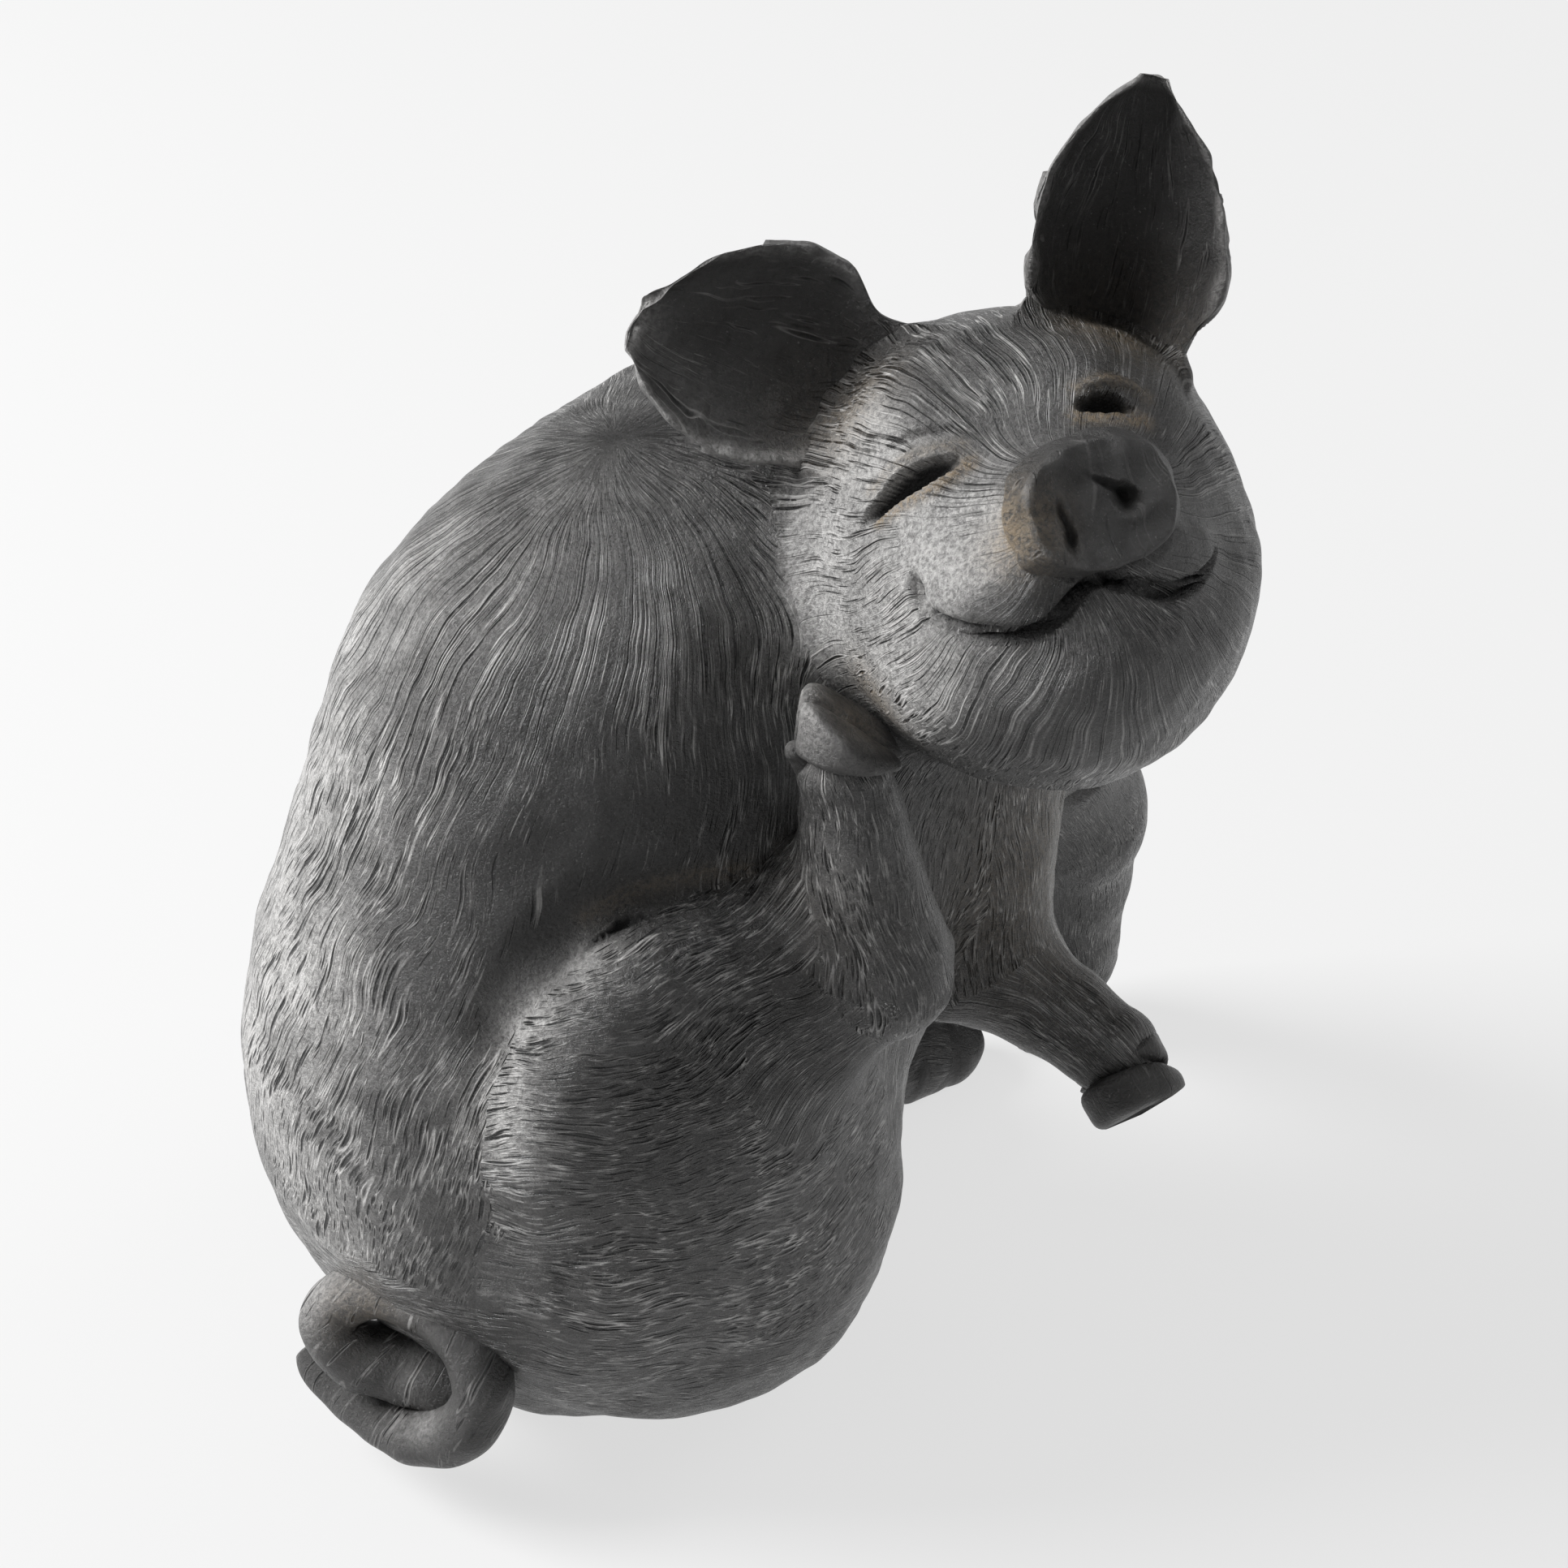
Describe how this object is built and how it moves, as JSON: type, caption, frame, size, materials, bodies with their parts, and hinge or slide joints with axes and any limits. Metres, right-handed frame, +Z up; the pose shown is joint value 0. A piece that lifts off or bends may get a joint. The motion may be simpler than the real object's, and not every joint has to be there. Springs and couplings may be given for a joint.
{
  "type": "pig figurine",
  "caption": "Hand-modelled clay pig sitting on its rump, head turned and tilted back, scratching its chin with a raised hind foot.",
  "frame": {"origin": "middle of the flat rest face under the rump, on the surface that the figure sits on", "axes": "+Z up, -Y towards the side that the face looks to, +X to the right of someone who stands there; the body itself points 40 degrees left of +X seen from above"},
  "size_m": [0.2172, 0.2023, 0.307],
  "materials": {
    "clay": "fired graphite-grey clay, matt with rubbed high spots"
  },
  "bodies": {
    "root": {"body_lower_bowl": "clay", "body_upper_bowl": "clay", "dewclaw_hind_right": "clay", "ear_left": "clay", "ear_right": "clay", "fore_hoof_left_inner": "clay", "fore_hoof_left_outer": "clay", "fore_hoof_right_inner": "clay", "fore_hoof_right_outer": "clay", "forearm_left": "clay", "forearm_right": "clay", "haunch_left": "clay", "haunch_right": "clay", "head_shell": "clay", "hind_foot_left": "clay", "hind_foot_right": "clay", "hind_hoof_left_inner": "clay", "hind_hoof_left_outer": "clay", "hind_hoof_right_inner": "clay", "hind_hoof_right_outer": "clay", "lower_jaw": "clay", "muzzle": "clay", "neck_collar": "clay", "shank_right": "clay", "snout_disc": "clay", "tail_coil": "clay", "upper_foreleg_left": "clay", "upper_foreleg_right": "clay", "upper_lip_left": "clay", "upper_lip_right": "clay"}
  },
  "joints": []
}
